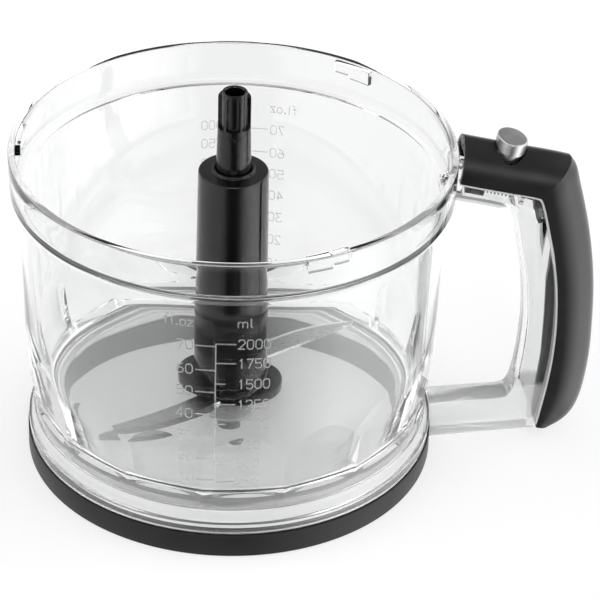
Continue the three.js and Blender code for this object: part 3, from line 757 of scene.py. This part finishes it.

# thin lip between the frame and the cover's edges: a real clear flange, made whiter and half milky as a painted
# highlight for the light line along the cover's edge
def lip(name, side):
    L = [(s[0], s[1], s[2], s[3]) for s in arm_st[:-1] + grip_st[:-3]]
    rows = []
    for s in L:
        p, o = np.array(s[:2]), np.array(s[2:])
        u = (o - p) / np.linalg.norm(o - p)
        q = p - u * 0.95
        rows.append([(q[0], side * 6.7, q[1]), (q[0], side * 11.35, q[1]), (p[0] - u[0] * 0.05, side * 11.35, p[1] - u[1] * 0.05), (p[0] - u[0] * 0.05, side * 6.7, p[1] - u[1] * 0.05)])
    verts = [p for r in rows for p in r]
    faces = [(0, 1, 2, 3)]
    for k in range(len(rows) - 1):
        faces += [(k * 4 + j, k * 4 + (j + 1) % 4, k * 4 + 4 + (j + 1) % 4, k * 4 + 4 + j) for j in range(4)]
    m = (len(rows) - 1) * 4
    faces.append((m + 3, m + 2, m + 1, m))
    return obj_from(name, verts, faces, M_LIP_PAINTED_HIGHLIGHT, 30.0)


for nm, sd in (("frame_lip_near", -1), ("frame_lip_far", 1)):
    place(lip(nm, sd), "housing", "clear_plastic")

# ------------------------------------------------------------------ CAD pieces kept, with their finishes
KEEP = {
    "spindle_bush": M_PALE, "thrust_washer": M_STEEL, "retaining_ring": M_STEEL, "drive_coupling": M_GREY, "button_guide": M_SATIN,
    "slider_spring": M_WIRE, "interlock_slider": M_SATIN, "slider_bracket": M_FRAME,
    "interlock_lever": M_GREY, "lever_pin": M_STEEL, "push_rod": M_GREY,
}
for n, m in KEEP.items():
    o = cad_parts[n]
    o.data.materials.clear()
    o.data.materials.append(m)

# springs: each CAD spring is copied as a coil mesh on the housing in place of the CAD part; the coil keeps its length,
# and joint and travel are not used
for n, joint, axis, travel in (("button_spring", "button_press", (0.219846, 0.0, 0.975535), 0.0035), ("rod_spring", "rod_press", (0.0, 0.0, 1.0), 0.0031)):
    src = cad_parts[n]
    bpy.context.view_layer.update()
    wm = np.array(src.matrix_world, float)
    co = np.array([v.co for v in src.data.vertices], float) @ wm[:3, :3].T + wm[:3, 3]
    along = co @ np.array(axis)
    low, high = float(along.min()), float(along.max())
    o = obj_from(n + "_coil", (co * 1000.0).tolist(), [tuple(f.vertices) for f in src.data.polygons], M_WIRE, 40.0)
    place(o, "housing", "spring_steel", n)
    foot = co[int(along.argmin())]
    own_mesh(o)

# ------------------------------------------------------------------ floor, light, camera
FLOOR, GLOW = 0.50, 0.62


def floor():
    s = 6.0
    me = bpy.data.meshes.new("floor")
    me.from_pydata([(-s, -s, 0), (s, -s, 0), (s, s, 0), (-s, s, 0)], [], [(0, 1, 2, 3)])
    m, nt, b = new_mat("pale floor")
    pale = ramp_color(nt, noise(nt, 3.0, 2.0), (FLOOR - 0.006,) * 3, (FLOOR + 0.006,) * 3)
    nt.links.new(pale.outputs["Color"], b.inputs["Base Color"])
    b.inputs["Emission Color"].default_value = (1, 1, 1, 1)
    b.inputs["Emission Strength"].default_value = GLOW
    b.inputs["Roughness"].default_value = 0.9
    b.inputs["Specular IOR Level"].default_value = 0.0
    # the floor is pale wherever it is looked at; mirror images in gloss show the studio below it instead
    lp = nt.nodes.new("ShaderNodeLightPath")
    once = nt.nodes.new("ShaderNodeMath")
    once.operation = "MINIMUM"
    once.inputs[1].default_value = 1.0
    nt.links.new(lp.outputs["Glossy Depth"], once.inputs[0])
    hole = nt.nodes.new("ShaderNodeBsdfTransparent")
    mix = nt.nodes.new("ShaderNodeMixShader")
    nt.links.new(once.outputs["Value"], mix.inputs[0])
    nt.links.new(b.outputs["BSDF"], mix.inputs[1])
    nt.links.new(hole.outputs["BSDF"], mix.inputs[2])
    out = [n for n in nt.nodes if n.type == "OUTPUT_MATERIAL"][0]
    nt.links.new(mix.outputs["Shader"], out.inputs["Surface"])
    me.materials.append(m)
    o = bpy.data.objects.new("floor", me)
    COLL.objects.link(o)
    o.location = (0, 0, -0.0002)


floor()

world = bpy.data.worlds.new("studio")
bpy.context.scene.world = world
world.use_nodes = True
wt = world.node_tree
wt.nodes.clear()
wo = wt.nodes.new("ShaderNodeOutputWorld")
bg = wt.nodes.new("ShaderNodeBackground")
wt.links.new(bg.outputs[0], wo.inputs[0])
tc = wt.nodes.new("ShaderNodeTexCoord")
sx = wt.nodes.new("ShaderNodeSeparateXYZ")
wt.links.new(tc.outputs["Generated"], sx.inputs[0])


def wmap(sock, a, b, lo, hi):
    r = wt.nodes.new("ShaderNodeMapRange")
    r.interpolation_type = "SMOOTHSTEP"
    r.inputs["From Min"].default_value = a
    r.inputs["From Max"].default_value = b
    r.inputs["To Min"].default_value = lo
    r.inputs["To Max"].default_value = hi
    wt.links.new(sock, r.inputs["Value"])
    return r.outputs[0]


def wadd(a, b):
    m = wt.nodes.new("ShaderNodeMath")
    m.operation = "ADD"
    wt.links.new(a, m.inputs[0])
    wt.links.new(b, m.inputs[1])
    return m.outputs[0]


def wdot(v):
    d = wt.nodes.new("ShaderNodeVectorMath")
    d.operation = "DOT_PRODUCT"
    d.inputs[1].default_value = Vector(v).normalized()
    wt.links.new(tc.outputs["Generated"], d.inputs[0])
    return d.outputs["Value"]


def wmath(op, a, b):
    m = wt.nodes.new("ShaderNodeMath")
    m.operation = op
    for k, v in enumerate((a, b)):
        if isinstance(v, (int, float)):
            m.inputs[k].default_value = v
        else:
            wt.links.new(v, m.inputs[k])
    return m.outputs[0]


def wmix(f, a, b):
    return wmath("ADD", wmath("MULTIPLY", a, wmath("SUBTRACT", 1.0, f)), wmath("MULTIPLY", b, f))


# upper half: soft overhead light in front, side walls, a pale horizon
BASE, LEFT, RIGHT, KEY, HORIZON = 0.36, 1.3, 1.8, 2.5, 0.75
upper = wadd(wmap(sx.outputs["X"], -0.45, -0.80, BASE, BASE + LEFT), wmap(sx.outputs["X"], 0.45, 0.80, 0.0, RIGHT))
upper = wadd(upper, wmap(wdot((-0.08, -0.95, 0.30)), 0.90, 0.97, 0.0, KEY))
upper = wmix(wmap(sx.outputs["Z"], 0.30, 0.10, 0.0, 1.0), upper, wmath("MAXIMUM", upper, HORIZON))
# lower half, round the compass from the side away from the camera: a dark gap in front, a soft box to its right
turn = wmath("ARCTAN2", wdot((0.9971, -0.0767, 0.0)), wdot((-0.0767, -0.9971, 0.0)))
fac = wmath("MULTIPLY_ADD", turn, 0.5 / math.pi)
fac.node.inputs[2].default_value = 0.5
GAIN = 3.0
round_ramp = wt.nodes.new("ShaderNodeValToRGB")
wt.links.new(fac, round_ramp.inputs["Fac"])
el = round_ramp.color_ramp.elements
STOPS = [(-180, 1.07), (-40, 1.10), (-28, 0.80), (-15, 0.12), (-6, 0.04), (10, 0.04), (17, 0.20), (23, 0.5), (36, 1.45), (50, 2.25), (64, 2.8), (80, 2.5), (98, 1.8), (120, 1.35), (180, 1.07)]
for k, (deg, v) in enumerate(STOPS):
    e = el[k] if k < 2 else el.new(1.0)
    e.position = (deg + 180) / 360
    e.color = (v / GAIN, v / GAIN, v / GAIN, 1)
lower = wmath("MULTIPLY", round_ramp.outputs["Color"], GAIN)
lower = wmix(wmap(sx.outputs["Z"], -0.66, -0.76, 0.0, 1.0), lower, 1.25)
total = wmix(wmap(sx.outputs["Z"], 0.02, -0.02, 0.0, 1.0), upper, lower)
wt.links.new(total, bg.inputs["Strength"])
bg.inputs["Color"].default_value = (1, 1, 1, 1)

cam_d = bpy.data.cameras.new("camera")
cam = bpy.data.objects.new("camera", cam_d)
COLL.objects.link(cam)
cam_d.sensor_width = 36.0
cam_d.lens = 176.2137
cam_d.clip_start = 0.05
right = (0.99582055, -0.08731711, 0.02677991)
up = (0.02490029, 0.54167229, 0.84022087)
back = (-0.08787159, -0.83604237, 0.54158262)
cam.matrix_world = Matrix(((right[0], up[0], back[0], -0.08427418), (right[1], up[1], back[1], -1.09311891), (right[2], up[2], back[2], 0.78020609), (0, 0, 0, 1)))
bpy.context.scene.camera = cam
bpy.context.scene.view_settings.view_transform = "Standard"
bpy.context.scene.cycles.max_bounces = 24
bpy.context.scene.cycles.transmission_bounces = 24
bpy.context.scene.cycles.glossy_bounces = 8
